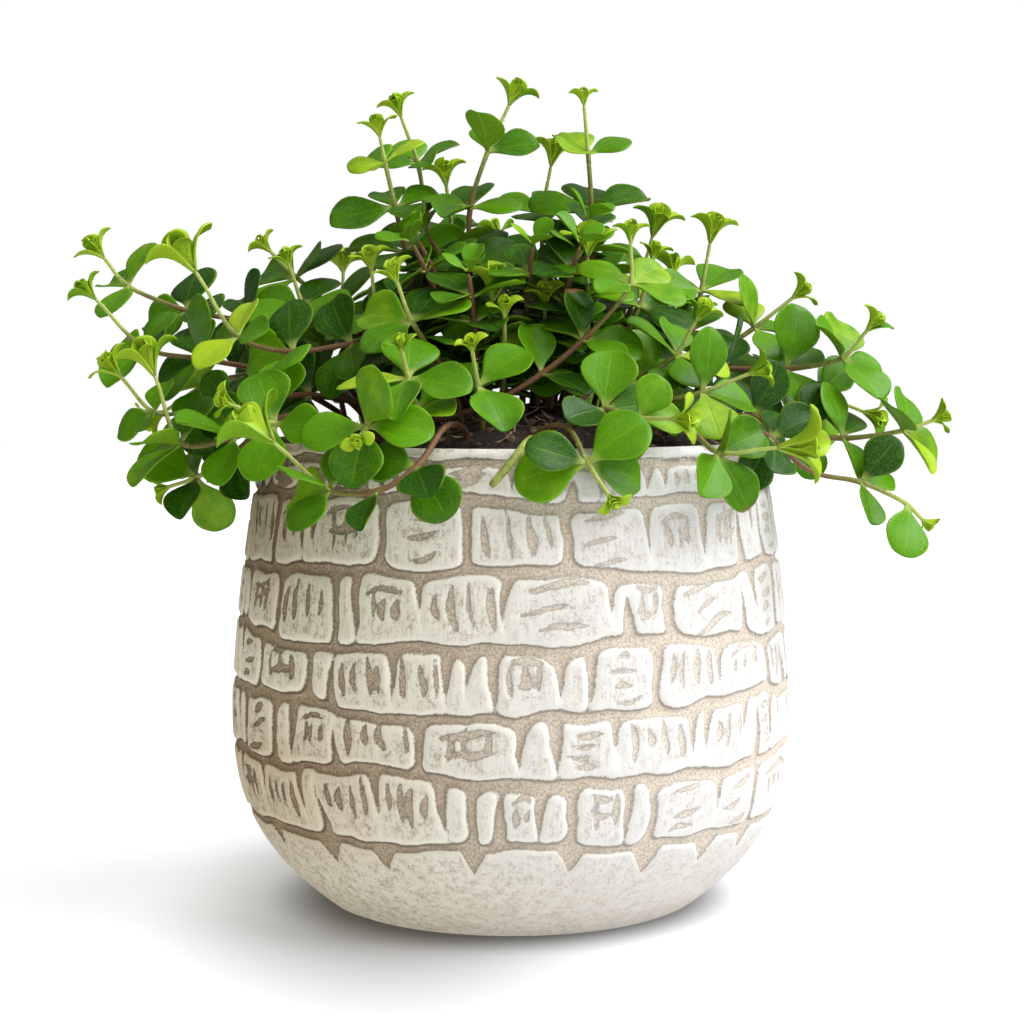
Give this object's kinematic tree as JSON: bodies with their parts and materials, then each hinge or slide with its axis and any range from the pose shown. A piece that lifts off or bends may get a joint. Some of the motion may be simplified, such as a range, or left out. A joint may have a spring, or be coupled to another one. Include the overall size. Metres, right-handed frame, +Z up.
{
  "type": "potted trailing plant",
  "caption": "Bushy trailing foliage plant with whorls of small round leaves, growing over the rim of a round carved ceramic pot.",
  "frame": {"origin": "centre of the pot's flat foot, on the surface it stands on", "axes": "+Z up along the pot's axis, -Y towards the side shown in the picture, +X to its right"},
  "size_m": [0.2486, 0.1997, 0.2333],
  "materials": {
    "pot_ceramic": "matte chalky white wash on raised carved blocks, bare taupe clay in the grooves",
    "soil": "dark brown fibrous peat with light chips",
    "leafy_stem": "glossy deep green leaves on red-brown stems that turn pale green towards the tips",
    "shoot_tip": "soft satin lime green young leaves"
  },
  "bodies": {
    "root": {"pot": "pot_ceramic", "soil": "soil", "leafy_stem_01": "leafy_stem", "leafy_stem_02": "leafy_stem", "leafy_stem_03": "leafy_stem", "leafy_stem_04": "leafy_stem", "leafy_stem_05": "leafy_stem", "leafy_stem_06": "leafy_stem", "leafy_stem_07": "leafy_stem", "leafy_stem_08": "leafy_stem", "leafy_stem_09": "leafy_stem", "leafy_stem_10": "leafy_stem", "leafy_stem_11": "leafy_stem", "leafy_stem_12": "leafy_stem", "leafy_stem_13": "leafy_stem", "leafy_stem_14": "leafy_stem", "leafy_stem_15": "leafy_stem", "leafy_stem_16": "leafy_stem", "leafy_stem_17": "leafy_stem", "leafy_stem_18": "leafy_stem", "leafy_stem_19": "leafy_stem", "leafy_stem_20": "leafy_stem", "leafy_stem_21": "leafy_stem", "leafy_stem_22": "leafy_stem", "leafy_stem_23": "leafy_stem", "leafy_stem_24": "leafy_stem", "leafy_stem_25": "leafy_stem", "leafy_stem_26": "leafy_stem", "leafy_stem_27": "leafy_stem", "leafy_stem_28": "leafy_stem", "leafy_stem_29": "leafy_stem", "leafy_stem_30": "leafy_stem", "leafy_stem_31": "leafy_stem", "leafy_stem_32": "leafy_stem", "leafy_stem_33": "leafy_stem", "leafy_stem_34": "leafy_stem", "leafy_stem_35": "leafy_stem", "leafy_stem_36": "leafy_stem", "leafy_stem_37": "leafy_stem", "leafy_stem_38": "leafy_stem", "leafy_stem_39": "leafy_stem", "leafy_stem_40": "leafy_stem", "leafy_stem_41": "leafy_stem", "leafy_stem_42": "leafy_stem", "leafy_stem_43": "leafy_stem", "leafy_stem_44": "leafy_stem", "leafy_stem_45": "leafy_stem", "shoot_tip_01": "shoot_tip", "shoot_tip_02": "shoot_tip", "shoot_tip_04": "shoot_tip", "shoot_tip_05": "shoot_tip", "shoot_tip_06": "shoot_tip", "shoot_tip_07": "shoot_tip", "shoot_tip_08": "shoot_tip", "shoot_tip_10": "shoot_tip", "shoot_tip_16": "shoot_tip", "shoot_tip_19": "shoot_tip", "shoot_tip_21": "shoot_tip", "shoot_tip_22": "shoot_tip", "shoot_tip_25": "shoot_tip"}
  },
  "joints": []
}
